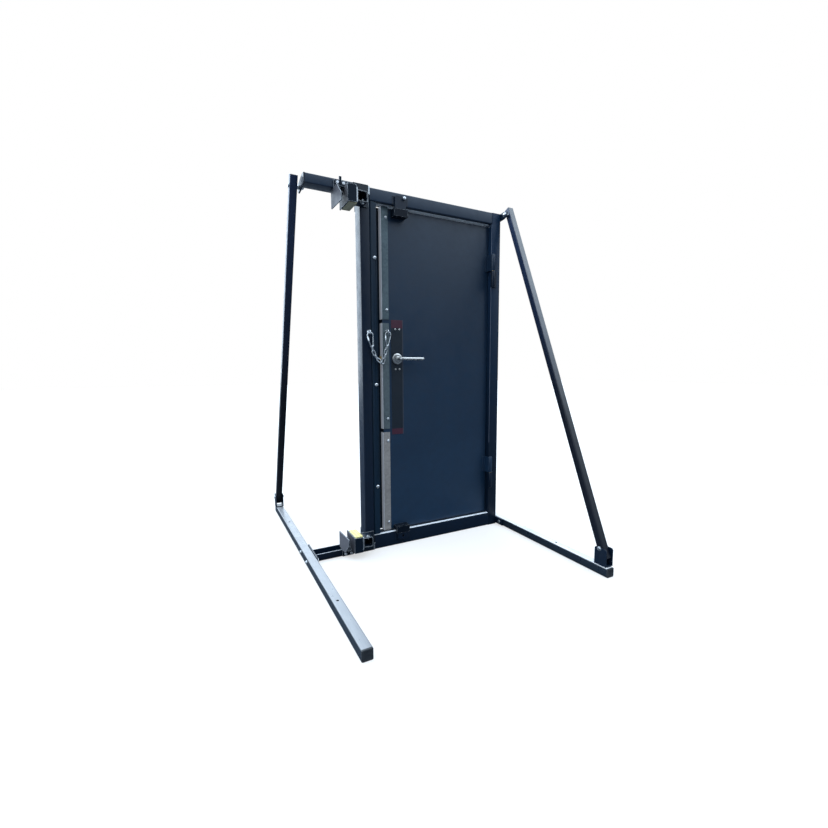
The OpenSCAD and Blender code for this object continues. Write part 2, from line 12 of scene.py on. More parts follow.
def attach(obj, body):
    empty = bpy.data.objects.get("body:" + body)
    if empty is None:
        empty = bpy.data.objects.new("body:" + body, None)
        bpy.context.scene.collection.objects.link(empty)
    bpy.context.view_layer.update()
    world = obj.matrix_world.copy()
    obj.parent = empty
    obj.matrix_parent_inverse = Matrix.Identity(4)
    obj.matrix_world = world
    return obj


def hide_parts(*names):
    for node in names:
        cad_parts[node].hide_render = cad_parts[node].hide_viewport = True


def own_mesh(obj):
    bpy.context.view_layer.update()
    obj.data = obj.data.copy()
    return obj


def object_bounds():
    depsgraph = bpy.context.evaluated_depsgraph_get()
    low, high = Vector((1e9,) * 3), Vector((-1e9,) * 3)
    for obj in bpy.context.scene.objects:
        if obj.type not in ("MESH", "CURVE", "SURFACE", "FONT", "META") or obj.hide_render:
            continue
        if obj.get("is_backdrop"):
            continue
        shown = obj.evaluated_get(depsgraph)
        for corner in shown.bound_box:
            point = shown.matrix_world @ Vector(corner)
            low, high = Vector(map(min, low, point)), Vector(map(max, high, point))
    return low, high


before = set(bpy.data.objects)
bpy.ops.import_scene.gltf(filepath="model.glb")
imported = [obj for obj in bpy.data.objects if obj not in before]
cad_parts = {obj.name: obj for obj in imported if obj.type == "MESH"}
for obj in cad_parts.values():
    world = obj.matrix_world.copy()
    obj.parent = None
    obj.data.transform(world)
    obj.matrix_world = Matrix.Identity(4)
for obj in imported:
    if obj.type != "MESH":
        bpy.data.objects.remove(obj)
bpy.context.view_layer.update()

# directions
RIGHT, LEFT = (1, 0, 0), (-1, 0, 0)
FRONT, BACK = (0, -1, 0), (0, 1, 0)


def at(x, y, z):
    """A place in millimetres, turned into the row frame in metres."""
    return Vector(((x + 661) / 1000, (y - 64) / 1000, z / 1000))


# ---------------------------------------------------------------- shader graphs
class Graph:
    """The node tree of a material or world, emptied and then built by short calls."""

    def __init__(self, owner):
        owner.use_nodes = True
        self.tree = owner.node_tree
        self.tree.nodes.clear()

    def feed(self, socket, value):
        """Links another socket, or sets a plain value; colours are given as three numbers."""
        if isinstance(value, bpy.types.NodeSocket):
            self.tree.links.new(value, socket)
        else:
            socket.default_value = (*value, 1) if socket.type == "RGBA" else value

    def node(self, kind, inputs=None, **settings):
        new = self.tree.nodes.new("ShaderNode" + kind)
        for key, value in settings.items():
            setattr(new, key, value)
        for key, value in (inputs or {}).items():
            self.feed(new.inputs[key], value)
        return new

    def math(self, operation, a, b, clamp=False):
        return self.node("Math", {0: a, 1: b}, operation=operation, use_clamp=clamp).outputs[0]

    def times(self, a, b, clamp=False):
        return self.math("MULTIPLY", a, b, clamp)

    def dot(self, a, b):
        return self.node("VectorMath", {0: a, 1: b}, operation="DOT_PRODUCT").outputs["Value"]

    def ramp(self, value, low, high, start=0.3, end=0.7, **settings):
        """Goes from low where the value is at start to high where it is at end."""
        span = {"From Min": start, "From Max": end, "To Min": low, "To Max": high}
        return self.node("MapRange", {**span, "Value": value}, **settings).outputs["Result"]

    def axes(self, vector):
        return self.node("SeparateXYZ", {0: vector}).outputs


class Finish(Graph):
    """A material with one principled shader, whose base colour is laid on coat by coat."""

    def __init__(self, name):
        self.material = bpy.data.materials.new(name)
        super().__init__(self.material)
        self.shader = self.node("BsdfPrincipled")
        self.node("OutputMaterial", {0: self.shader.outputs[0]})
        self.coords = self.node("TexCoord").outputs["Object"]

    def set(self, name, value):
        self.feed(self.shader.inputs[name], value)

    def stretched(self, **mapping):
        return self.node("Mapping", {"Vector": self.coords, **mapping}).outputs[0]

    def noise(self, scale, detail=4, rough=0.55, stretch=None):
        place = self.stretched(Scale=stretch) if stretch else self.coords
        inputs = {"Scale": scale, "Detail": detail, "Roughness": rough, "Vector": place}
        return self.node("TexNoise", inputs).outputs["Fac"]

    def base(self):
        return self.shader.inputs["Base Color"].links[0].from_socket

    def tint(self, amount, colour, under=None):
        """Lays a colour over the one given, or over the base colour so far."""
        mix = self.node("Mix", {0: amount, 6: under or self.base(), 7: colour}, data_type="RGBA")
        self.set("Base Color", mix.outputs[2])

    def normal(self):
        return self.axes(self.node("NewGeometry").outputs["True Normal"])

    def position(self):
        return self.axes(self.node("TexCoord").outputs["Object"])

    def edge(self, radius=0.0022, gain=5.0):
        """1 at outer edges, 0 on flats; radius in metres."""
        bevel = self.node("Bevel", {"Radius": radius}, samples=4)
        flat = self.dot(bevel.outputs[0], self.node("NewGeometry").outputs["Normal"])
        return self.times(self.math("SUBTRACT", 1.0, flat), gain, clamp=True)

    def relief(self, layers):
        """Chains bumps; layers are (height, strength, distance in metres)."""
        below = None
        for height, strength, distance in layers:
            inputs = {"Strength": strength, "Distance": distance, "Height": height}
            if below:
                inputs["Normal"] = below
            below = self.node("Bump", inputs).outputs[0]
        self.set("Normal", below)

    # The limits below are in metres, in the row frame.
    def band(self, low, high, colour, axis=2, amount=0.75):
        """Tints between two places on an axis."""
        place = self.position()[axis]
        above = self.math("GREATER_THAN", place, low)
        under = self.math("LESS_THAN", place, high)
        self.tint(self.times(self.times(above, under), amount), colour)

    def patch(self, low, high, colour, amount=1.0):
        """Tints inside a box."""
        place = self.position()
        for k in range(3):
            amount = self.times(self.math("GREATER_THAN", place[k], low[k]), amount)
            amount = self.times(self.math("LESS_THAN", place[k], high[k]), amount)
        self.tint(amount, colour)

    def dust_and_sheen(self, colour, tilt, height):
        """Tints faces that look up; tilt and height are (none, full) pairs."""
        lies = self.ramp(self.normal()[2], 0, 1, start=tilt[0], end=tilt[1])
        rises = self.ramp(self.position()[2], 0, 1, start=height[0], end=height[1])
        self.tint(self.times(lies, rises), colour)

    def grade(self, low, high, gain):
        """Scales the base colour by gain at height low and by 1 at height high."""
        factor = self.ramp(self.position()[2], gain, 1.0, start=low, end=high)
        inputs = {0: self.base(), "Scale": factor}
        self.set("Base Color", self.node("VectorMath", inputs, operation="SCALE").outputs[0])


def scaled(colour, factor):
    return tuple(min(1, c * factor) for c in colour)


# ---------------------------------------------------------------- kinds of finish
def powder(name, base, light, rough=0.33, wear=0.5, wear_colour=(0.20, 0.22, 0.24), spec=0.5,
           edge_gain=5.0, bare=0.47, dust_and_sheen=0.0, dust_and_sheen_colour=(0.30, 0.31, 0.33), side=None):
    """Semi-gloss powder coat: cloudy tone, orange peel, scuffs, dust with a painted sky reflection,
    and chipped edges.

    Less bare means more chips; side is painted light, the paler colour of faces that look to -X as
    they catch the light from the left.
    """
    s = Finish(name)
    cloud = s.noise(2.3, detail=3)
    mottle = s.noise(24, detail=5)
    peel = s.noise(420, detail=2)
    speck = s.noise(900, detail=1)
    s.tint(s.ramp(cloud, 0, 1), light, under=base)
    s.tint(s.ramp(mottle, 0, 0.35), scaled(base, 0.72))
    # Painted light: faces that look to -X are tinted paler, as lit from the left.
    if side:
        s.tint(s.ramp(s.times(s.normal()[0], -1.0), 0, 1, start=0.6, end=0.95), side)
    edge = s.edge(gain=edge_gain)
    chips = s.ramp(s.noise(95, detail=6, rough=0.7), 0, 1, start=bare, end=bare + 0.15)
    worn = s.times(s.times(edge, chips), wear, clamp=True)
    s.tint(worn, wear_colour)
    scratches = s.noise(14, detail=8, rough=0.75, stretch=(1, 1, 7))
    scuff = s.ramp(scratches, 0, 0.025, start=0.60, end=0.75)
    s.tint(scuff, (0.30, 0.33, 0.36))
    # Partly dust, partly a painted reflection of the bright sky, on the faces that look up.
    if dust_and_sheen:  # pale film on the faces that look up
        lies = s.ramp(s.normal()[2], 0, dust_and_sheen, start=0.55, end=0.95)
        streak = s.ramp(s.noise(30, detail=6, rough=0.7, stretch=(1, 0.15, 1)), 0.72, 1.0)
        s.tint(s.times(lies, streak), dust_and_sheen_colour)
    # scuffs and bare metal are rougher than the coat
    coat = s.ramp(mottle, rough - 0.05, rough + 0.09)
    scuffed = s.math("ADD", coat, s.times(scuff, 2.0))
    s.set("Roughness", s.math("ADD", scuffed, s.times(worn, 0.1), clamp=True))
    s.set("Metallic", s.times(worn, 0.7))
    s.set("Specular IOR Level", spec)
    s.relief([(cloud, 0.10, 0.004), (peel, 0.10, 0.0006),
              (speck, 0.05, 0.0003), (chips, 0.04, 0.0004)])
    return s


def metal(name, base, light, rough=0.3, brushed=None, spangle=0.0, stain=0.25, rust=0.0,
          metallic=1.0):
    """Metal with stains and bright edges; spangle and rust are amounts, brushed a stretch."""
    s = Finish(name)
    blotch = s.noise(60, detail=5, rough=0.65)
    s.tint(s.ramp(s.noise(6), 0, 1), light, under=base)
    layers = []
    if spangle:
        cells = s.node("TexVoronoi", {"Scale": 85, "Vector": s.coords}).outputs["Color"]
        cell = s.node("SeparateColor", {0: cells}).outputs
        s.tint(s.times(cell[0], spangle), scaled(light, 1.5))
        layers.append((cell[1], 0.10, 0.0003))
    if brushed:
        strokes = s.noise(60, detail=6, rough=0.7, stretch=brushed)
        s.tint(s.ramp(strokes, 0, 0.25), scaled(base, 0.6))
        layers.append((strokes, 0.16, 0.0004))
    s.tint(s.ramp(blotch, 0, stain, start=0.5, end=0.75), scaled(base, 0.45))
    if rust:
        spots = s.noise(33, detail=8, rough=0.75)
        s.tint(s.ramp(spots, 0, rust, start=0.60, end=0.72), (0.24, 0.10, 0.04))
    s.tint(s.times(s.edge(radius=0.0015), 0.5), scaled(light, 1.25))
    s.set("Roughness", s.ramp(blotch, rough - 0.07, rough + 0.12))
    s.set("Metallic", metallic)
    s.relief(layers + [(blotch, 0.08, 0.0005)])
    return s


def wood(name):
    """Sawn softwood: rings about a line along Y, saw marks and a greenish tint."""
    s = Finish(name)
    rings = s.node("TexWave", {
        "Scale": 62, "Distortion": 3.0, "Detail": 3, "Detail Scale": 1.6,
        "Vector": s.stretched(Location=(0.47, 0, 0.03), Scale=(1, 0.12, 1)),
    }, wave_type="RINGS", rings_direction="Y").outputs["Fac"]
    fibre = s.noise(130, detail=6, rough=0.7, stretch=(1, 0.06, 1))
    cloud = s.noise(14, detail=3)
    saw = s.noise(260, detail=2, rough=0.5, stretch=(0.08, 1, 0.08))
    late = s.ramp(rings, 0, 1, start=0.25, end=0.95)
    s.tint(late, (0.52, 0.41, 0.14), under=(0.74, 0.70, 0.30))
    s.tint(s.ramp(fibre, 0, 0.55), (0.42, 0.32, 0.11))
    s.tint(s.ramp(cloud, 0, 0.4), (0.80, 0.80, 0.42))
    s.set("Roughness", s.ramp(fibre, 0.62, 0.85))
    s.set("Specular IOR Level", 0.3)
    s.relief([(rings, 0.25, 0.0006), (fibre, 0.45, 0.0006), (saw, 0.25, 0.0005)])
    return s


def plastic(name):
    """Black moulded plastic with a fine grain and slightly paler edges."""
    s = Finish(name)
    tone = s.ramp(s.noise(30, detail=5), 0, 1)
    s.tint(tone, (0.028, 0.032, 0.038), under=(0.010, 0.013, 0.018))
    s.tint(s.times(s.edge(radius=0.0012), 0.35), (0.10, 0.11, 0.12))
    s.set("Roughness", s.ramp(s.noise(55), 0.42, 0.6))
    s.relief([(s.noise(1500, detail=2), 0.25, 0.0003)])
    return s


# ---------------------------------------------------------------- finishes
# The frame, post and braces share one navy powder coat. HEADER, JAMB, BRACE and BAR are lighter
# copies of DEEP, and their differing tones are painted light, set for how each part is lit.
DEEP = dict(base=(0.0018, 0.0085, 0.0225), light=(0.0032, 0.0120, 0.0290), spec=0.34)
BLUE = powder("powder_blue", **DEEP)
HEADER = powder("powder_header", base=(0.0110, 0.0260, 0.0520), light=(0.0170, 0.0340, 0.0640),
                spec=0.38)
# Painted highlight: a thin near-white strip on the header's underside, just above the leaf's top
# edge, stands in for light reflected there from behind the door.
HEADER.patch((-0.30, -0.040, 2.077), (0.60, 0.000, 2.0792), (0.95, 0.98, 1.0))
BRACE = powder("powder_brace", base=(0.0170, 0.0330, 0.0800), light=(0.0240, 0.0420, 0.0950),
               spec=0.34)
BRACE.grade(low=0.9, high=2.0, gain=0.15)
# Pale tint on the braces' upper faces: dust and a painted sky reflection.
BRACE.dust_and_sheen((0.165, 0.172, 0.185), tilt=(0.15, 0.33), height=(0.8, 1.7))
JAMB = powder("powder_jamb", base=(0.0060, 0.0250, 0.0600), light=(0.0090, 0.0300, 0.0700),
              spec=0.30)
JAMB.grade(low=0.3, high=1.9, gain=0.3)
# Painted highlight: a pale line down the jamb's front inner rolled corner.
JAMB.patch((0.5885, -0.0650, 0.600), (0.5905, -0.0600, 2.075), (0.20, 0.23, 0.30), amount=0.8)
BAR = powder("powder_bar", base=(0.0030, 0.0160, 0.0340), light=(0.0050, 0.0200, 0.0410),
             spec=0.34)
SILL = powder("powder_sill", **DEEP)
# Painted highlights: a pale line on the sill's top face in front of the leaf, and a grey line on
# the top of the sill rail's front lip.
SILL.patch((-0.30, -0.0645, 0.0905), (0.60, -0.0440, 0.0930), (0.86, 0.90, 0.95))
SILL.patch((-0.70, -0.0645, 0.0415), (-0.28, -0.0590, 0.0440), (0.40, 0.43, 0.48))
HOUSING = powder("powder_housing", base=(0.0014, 0.0046, 0.0110), light=(0.0026, 0.0070, 0.0150),
                 rough=0.45, wear=1.0, wear_colour=(0.55, 0.58, 0.60), spec=0.16, edge_gain=9,
                 bare=0.42)
WORN = dict(base=(0.0030, 0.0090, 0.0190), light=(0.0060, 0.0140, 0.0270), wear=1.0)
# Its side colour is painted light on the faces that look to -X.
BRACKET = powder("powder_bracket", **WORN, rough=0.5, spec=0.12, wear_colour=(0.62, 0.66, 0.70),
                 edge_gain=16, bare=0.28, side=(0.088, 0.090, 0.105))
SCRAPED_POWDER = powder("powder_scraped", **WORN, spec=0.4, wear_colour=(0.55, 0.58, 0.60),
                        edge_gain=14, bare=0.30)
LEAF = powder("powder_leaf", base=(0.0055, 0.0200, 0.0450), light=(0.0090, 0.0270, 0.0570),
              rough=0.36, wear=0.35)
LEAF.grade(low=0.1, high=1.7, gain=1.45)
# The pale tint on the beams' top faces is partly dust, partly a painted reflection of the bright
# sky.
BEAM = powder("powder_beam", base=(0.0070, 0.0150, 0.0270), light=(0.0130, 0.0230, 0.0370),
              rough=0.30, wear=0.7, dust_and_sheen=1.0, dust_and_sheen_colour=(0.84, 0.84, 0.86))
LEFT_BEAM = powder("powder_beam_dust_and_sheen", base=(0.0060, 0.0140, 0.0260),
                   light=(0.0110, 0.0210, 0.0350), rough=0.30, wear=0.7, dust_and_sheen=0.9)
DARK = powder("dark_satin", base=(0.0040, 0.0080, 0.0140), light=(0.0070, 0.0120, 0.0200),
              rough=0.45, wear=0.5)
LOCK_PLATE = powder("lock_plate_satin", base=(0.0070, 0.0130, 0.0210),
                    light=(0.0110, 0.0180, 0.0290), rough=0.34, wear=0.4)
# The original coordinates are joined by one position node for the two height bands.
_height = LOCK_PLATE.position()[2]
for low, high in ((1.368, 1.4175), (0.7095, 0.745)):
    inside = LOCK_PLATE.times(LOCK_PLATE.math("GREATER_THAN", _height, low),
                              LOCK_PLATE.math("LESS_THAN", _height, high))
    LOCK_PLATE.tint(LOCK_PLATE.times(inside, 0.75), (0.075, 0.016, 0.034))
# Painted highlight: a lighter line down the plate's right edge.
LOCK_PLATE.band(-0.0665, -0.0600, (0.055, 0.062, 0.085), axis=0, amount=0.8)
GALVANISED = metal("galvanised_sheet", base=(0.20, 0.23, 0.26), light=(0.30, 0.34, 0.37),
                   rough=0.42, spangle=0.35, rust=0.10)


def strip_metal(height, base, light):
    """Galvanised sheet of one edge strip, with a painted highlight along its fold."""
    s = metal(f"galvanised_strip_{height}", base, light, rough=0.48, spangle=0.30, stain=0.30,
              rust=0.06, metallic=0.4)
    # Painted highlight: a pale line along the fold.
    s.band(-0.2040, -0.2018, (0.72, 0.77, 0.84), axis=0, amount=0.9)
    return s


# The lower strip is paler and warmer than the two above: partly wear, partly a painted reflection
# of the bright floor.
STRIP_LOW = strip_metal("low", base=(0.290, 0.265, 0.250), light=(0.390, 0.365, 0.350))
STRIP_MID = strip_metal("mid", base=(0.085, 0.112, 0.125), light=(0.125, 0.158, 0.172))
STRIP_TOP = strip_metal("top", base=(0.066, 0.096, 0.112), light=(0.100, 0.138, 0.158))
# Scraped metal for the strips' fold and side flange; its pale base and glow are also painted light.
SCRAPED_AND_GLOWING = metal("scraped_edge_and_glow", base=(0.52, 0.55, 0.60), light=(0.66, 0.69, 0.74), rough=0.5,
                brushed=(8, 8, 1), stain=0.15, metallic=0.0)
SCRAPED_AND_GLOWING.set("Emission Color", (0.70, 0.76, 0.86))  # fill light for the narrow gap beside it
SCRAPED_AND_GLOWING.set("Emission Strength", 0.17)
ZINC = metal("zinc_plate", base=(0.52, 0.55, 0.58), light=(0.68, 0.71, 0.74), rough=0.27,
             stain=0.35)
# A paler, less metallic copy of the zinc for the bracket bolts: its light colour is a painted
# highlight, as they sit in shade under the shelf.
PALE_LIT_ZINC = metal("zinc_plate_pale_lit", base=(0.62, 0.65, 0.70), light=(0.78, 0.81, 0.86),
                  rough=0.4, stain=0.2, metallic=0.25)
STAINLESS = metal("satin_stainless", base=(0.50, 0.50, 0.49), light=(0.62, 0.62, 0.61),
                  rough=0.26, brushed=(1, 8, 8), stain=0.12)
BRASS = metal("plain_brass", base=(0.55, 0.38, 0.15), light=(0.70, 0.50, 0.22), rough=0.3)
WOOD = wood("sawn_softwood")
# Painted shade: the upper block, seen from below in shadow, is tinted greyer.
WOOD.patch((-2, -2, 1.5), (2, 2, 3), (0.40, 0.36, 0.32), amount=0.6)  # the upper block is greyer
CAP = plastic("black_cap")


# ---------------------------------------------------------------- objects
def smooth(mesh, angle):
    for p in mesh.polygons:
        p.use_smooth = True
    mesh.set_sharp_from_angle(angle=math.radians(angle))


def add_bevel(o, width, segments=2):
    b = o.modifiers.new("bevel", "BEVEL")
    b.width = width / 1000
    b.segments = segments
    b.limit_method = "ANGLE"
    b.angle_limit = math.radians(32)
    b.harden_normals = True
    b.use_clamp_overlap = True


def build(name, bm, finish, body, angle=38, bevel=0.0, node=None):
    """Makes an object that rides on a body; finish gives its material, node the CAD it replaces."""
    bmesh.ops.remove_doubles(bm, verts=bm.verts, dist=1e-6)
    bmesh.ops.recalc_face_normals(bm, faces=bm.faces)
    mesh = bpy.data.meshes.new(name)
    bm.to_mesh(mesh)
    bm.free()
    mesh.materials.append(finish.material)
    smooth(mesh, angle)
    o = bpy.data.objects.new(name, mesh)
    bpy.context.scene.collection.objects.link(o)
    if bevel:
        add_bevel(o, bevel)
    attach(o, body)
    if node:
        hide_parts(node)
    return o


def keep(node, finish, bevel=0.0, segments=2):
    """A CAD node whose shape is right stays: welded, softly bevelled and given its finish."""
    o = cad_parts[node]
    o.data.materials.clear()
    o.data.materials.append(finish.material)
    for p in o.data.polygons:
        p.material_index = 0
    o.modifiers.new("weld", "WELD").merge_threshold = 1e-5
    if bevel:
        add_bevel(o, bevel, segments)
    else:
        for p in o.data.polygons:
            p.use_smooth = True


def cut(o, cutter, angle=38):
    """Cuts the bmesh out of the object and applies the cut."""
    tool_mesh = bpy.data.meshes.new("cut")
    cutter.to_mesh(tool_mesh)
    cutter.free()
    tool = bpy.data.objects.new("cut", tool_mesh)
    bpy.context.scene.collection.objects.link(tool)
    b = o.modifiers.new("cut", "BOOLEAN")
    b.object = tool
    b.operation = "DIFFERENCE"
    b.solver = "EXACT"
    bpy.context.view_layer.update()
    depsgraph = bpy.context.evaluated_depsgraph_get()
    new = bpy.data.meshes.new_from_object(o.evaluated_get(depsgraph))
    o.modifiers.clear()
    old, o.data = o.data, new
    bpy.data.meshes.remove(old)
    bpy.data.objects.remove(tool)
    bpy.data.meshes.remove(tool_mesh)
    smooth(new, angle)


# ---------------------------------------------------------------- shapes
def arc(cx, cy, radius, degrees):
    return [(cx + radius * math.cos(math.radians(d)), cy + radius * math.sin(math.radians(d)))
            for d in degrees]


def rounded_rect(w, h, r, steps=5):
    """Rounded rectangle about the origin, anticlockwise."""
    r = max(min(r, w / 2 - 1e-5, h / 2 - 1e-5), 1e-5)
    x, y = w / 2 - r, h / 2 - r
    points = []
    for cx, cy, start in ((x, y, 0), (-x, y, 90), (-x, -y, 180), (x, -y, 270)):
        points += arc(cx, cy, r, [start + 90 * i / steps for i in range(steps + 1)])
    return points


def add_rings(bm, rings, close=False, cap_first=False, cap_last=False):
    """Joins rings of points with quads."""
    loops = [[bm.verts.new(p) for p in ring] for ring in rings]
    n = len(loops[0])
    for a, b in list(zip(loops, loops[1:])) + ([(loops[-1], loops[0])] if close else []):
        for i in range(n):
            bm.faces.new((a[i], a[(i + 1) % n], b[(i + 1) % n], b[i]))
    if cap_first:
        bm.faces.new(loops[0][::-1])
    if cap_last:
        bm.faces.new(loops[-1])


def turned(direction):
    """Matrix whose +Z is the direction."""
    return Vector(direction).normalized().to_track_quat("Z", "Y").to_matrix().to_4x4()


def place(point, direction):
    return Matrix.Translation(at(*point)) @ turned(direction)


def tube(name, low, high, axis, wall, radius, finish, body, holes=(), closed=None, pose=None,
         node=None):
    """Square hollow section with rolled corners.

    Holes are (point, direction, radius, length); closed is where a plate shuts the inside;
    pose moves the finished tube.
    """
    low, high = Vector(low), Vector(high)
    u, v = (axis + 1) % 3, (axis + 2) % 3
    centre = (low + high) / 2
    w, h = high[u] - low[u], high[v] - low[v]

    def ring(inset, corner, along):
        points = []
        for a, b in rounded_rect(w - 2 * inset, h - 2 * inset, corner):
            p = Vector((0, 0, 0))
            p[axis], p[u], p[v] = along, centre[u] + a, centre[v] + b
            points.append(p / 1000)
        return points

    ease = 0.5
    inner = max(radius - wall, 0.8)
    # inset, corner radius, setback from the end: from the bore round to the outside
    lip = [(wall, inner, ease), (wall - ease, inner + ease, 0), (ease, radius - ease, 0),
           (0, radius, ease)]
    rings = [ring(inset, corner, low[axis] + back) for inset, corner, back in lip]
    rings += [ring(inset, corner, high[axis] - back) for inset, corner, back in lip[::-1]]
    bm = bmesh.new()
    add_rings(bm, rings, close=True)
    if closed is not None:
        inward = -3 if closed > centre[axis] else 3
        plate = [ring(wall - 0.2, inner, along) for along in (closed, closed + inward)]
        add_rings(bm, plate, cap_first=True, cap_last=True)
    o = build(name, bm, finish, body)
    if holes:
        cutter = bmesh.new()
        for point, direction, r, length in holes:
            bmesh.ops.create_cone(
                cutter, cap_ends=True, segments=32, radius1=r / 1000, radius2=r / 1000,
                depth=length / 1000,
                matrix=Matrix.Translation(Vector(point) / 1000) @ turned(direction))
        cut(o, cutter)
    o.data.transform(Matrix.Translation(at(0, 0, 0)) @ (pose or Matrix.Identity(4)))
    if node:
        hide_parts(node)


def lathe(bm, profile, m, n=36, cap=True):
    """Revolves (radius, height) pairs about +Z of m; clear of the axis at both ends is a ring."""
    turn = [2 * math.pi * i / n for i in range(n)]
    rings = [[m @ Vector((r / 1000 * math.cos(a), r / 1000 * math.sin(a), z / 1000))
              for a in turn] for r, z in profile]
    first, last = profile[0][0] > 1e-6, profile[-1][0] > 1e-6
    add_rings(bm, rings, close=first and last, cap_first=cap and first and not last,
              cap_last=cap and last and not first)


def hexagon(bm, m, corner, height, base):
    """Hexagon with a turned chamfer and a slight dome, growing along +Z of m."""
    n = 36
    flat = corner * math.cos(math.pi / 6)
    top = base + height
    side, rim, cone, dome = [], [], [], []
    for i in range(n):
        a = 2 * math.pi * i / n
        rho = flat / math.cos((a % (math.pi / 3)) - math.pi / 6)
        drop = max(0.0, rho - 0.96 * flat) * 0.55
        side.append((rho, a, base))
        rim.append((rho, a, top - drop))
        cone.append((0.93 * flat, a, top))
        dome.append((0.70 * flat, a, top + 0.25))
    rings = [[m @ Vector((r / 1000 * math.cos(a), r / 1000 * math.sin(a), z / 1000))
              for r, a, z in ring] for ring in (side, rim, cone, dome)]
    add_rings(bm, rings, cap_first=True, cap_last=True)


def washer(radius, thick, base=0.0, dish=0.02):
    """Profile of a solid disc with eased edges; dish lifts the middle of its underside."""
    top = base + thick
    return [(0, base + dish), (radius - 0.4, base), (radius, base + 0.4), (radius, top - 0.4),
            (radius - 0.4, top), (0, top)]


def thread(r, z0, z1, pitch=1.5):
    root = r * 0.86
    profile = [(root, z0)]
    z = z0
    while z + pitch < z1:
        profile += [(root, z + 0.1 * pitch), (r, z + 0.5 * pitch), (root, z + 0.9 * pitch)]
        z += pitch
    return profile + [(r * 0.8, z1), (0.0, z1 + 0.3)]


def add_box(bm, low, high):
    low, high = at(*low), at(*high)
    size = Matrix.Diagonal((*(high - low), 1))
    bmesh.ops.create_cube(bm, size=1, matrix=Matrix.Translation((low + high) / 2) @ size)


def add_prism(bm, outline, x0, x1):
    """Extrudes a (y, z) outline along X."""
    rings = [[at(x, y, z) for y, z in outline] for x in (x0, x1)]
    add_rings(bm, rings, cap_first=True, cap_last=True)


def bead(name, start, end, radius, body="frame", finish=BLUE):
    """Rippled weld bead between two places."""
    start, end = at(*start), at(*end)
    run = end - start
    m = turned(run)
    steps = max(6, int(run.length / 0.0016))
    rings = []
    for i in range(steps + 1):
        swell = 1 + 0.13 * math.cos(i * 2.1) + 0.05 * math.sin(i * 0.7)
        if i in (0, steps):
            swell = 0.35
        r = radius / 1000 * swell
        wobble = 0.0003 * math.sin(i * 0.37)
        centre = start + run * (i / steps)
        turn = [2 * math.pi * j / 10 for j in range(10)]
        rings.append([centre + m @ Vector((r * math.cos(a) + wobble, r * math.sin(a), 0))
                      for a in turn])
    bm = bmesh.new()
    add_rings(bm, rings, cap_first=True, cap_last=True)
    build(name, bm, finish, body, angle=60)


def sweep(bm, points, radius, n=16, cyclic=False):
    """Round bar through points in the row frame, open at its ends."""
    count = len(points)
    rings = []
    across = None
    for i, p in enumerate(points):
        before = points[(i - 1) % count] if (cyclic or i) else points[0]
        after = points[(i + 1) % count] if (cyclic or i < count - 1) else points[-1]
        along = (after - before).normalized()
        if across is None:
            across = along.orthogonal().normalized()
        across = (across - along * across.dot(along)).normalized()
        other = along.cross(across)
        turn = [2 * math.pi * j / n for j in range(n)]
        rings.append([p + (across * math.cos(a) + other * math.sin(a)) * (radius / 1000)
                      for a in turn])
    add_rings(bm, rings, close=cyclic)


def through_bolt(name, point, direction, head, grip, tail, node=None):
    """M12 bolt along the direction, with washers, a nut past the grip and a threaded tail."""
    corner, washer_t, nut = 10, 1.6, 7.6
    washer_r = corner * 1.22
    bm = bmesh.new()
    m = place(point, direction)
    back = m @ Matrix.Rotation(math.pi, 4, "X")
    lathe(bm, washer(washer_r, washer_t), back)
    hexagon(bm, back, corner, head - washer_t, base=washer_t)
    lathe(bm, washer(washer_r, washer_t, base=grip, dish=0), m)
    hexagon(bm, m, corner, nut - washer_t, base=grip + washer_t)
    lathe(bm, thread(6, grip + nut - 0.5, grip + tail), m, n=24)
    build(name, bm, ZINC, "frame", node=node)


def tapped_bolt(name, head_at, thread_at, direction, sizes, finish, body, node):
    """Bolt head on a face, and the thread that comes through behind it.

    Sizes are washer radius, washer thickness, head corner radius, head height, thread length
    and pitch.
    """
    washer_r, washer_t, corner, head, length, pitch = sizes
    bm = bmesh.new()
    m = place(head_at, direction)
    lathe(bm, washer(washer_r, washer_t), m)
    hexagon(bm, m, corner, head, base=washer_t)
    lathe(bm, thread(5, 0.0, length, pitch), place(thread_at, -Vector(direction)), n=20)
    build(name, bm, finish, body, node=node)


def button_heads(name, profile, n, places, body, node, finish=ZINC):
    """Domed screw heads that face the front."""
    for i, point in enumerate(places):
        bm = bmesh.new()
        lathe(bm, profile, place(point, FRONT), n=n)
        build(f"{name}_{i}", bm, finish, body, angle=50, node=None if i else node)


# ---------------------------------------------------------------- ground beams and end caps
BEAM_SIZE = 50
BEAM_HALF = BEAM_SIZE / 2
BEAM_FRONT, BEAM_REAR = -917, 1045
BEAM_HOLES_Y = (-540, 600)
# distance out from the beam's end, half width, corner radius
CAP_PROFILE = [(-0.2, 21, 3), (-0.2, 24.9, 5.4), (2.4, 25, 5.5), (6.2, 24.4, 5.2), (7.6, 22.6, 5),
               (8, 19.5, 5), (7.2, 18.4, 4), (6.9, 10, 4), (7.4, 3, 2.5)]
# x0, x1, z0, z1 of the four ribs inside the tube, from the beam's middle
CAP_RIBS = [(-21.6, -18.6, -20, 20), (18.6, 21.6, -20, 20), (-20, 20, -21.6, -18.6),
            (-20, 20, 18.6, 21.6)]


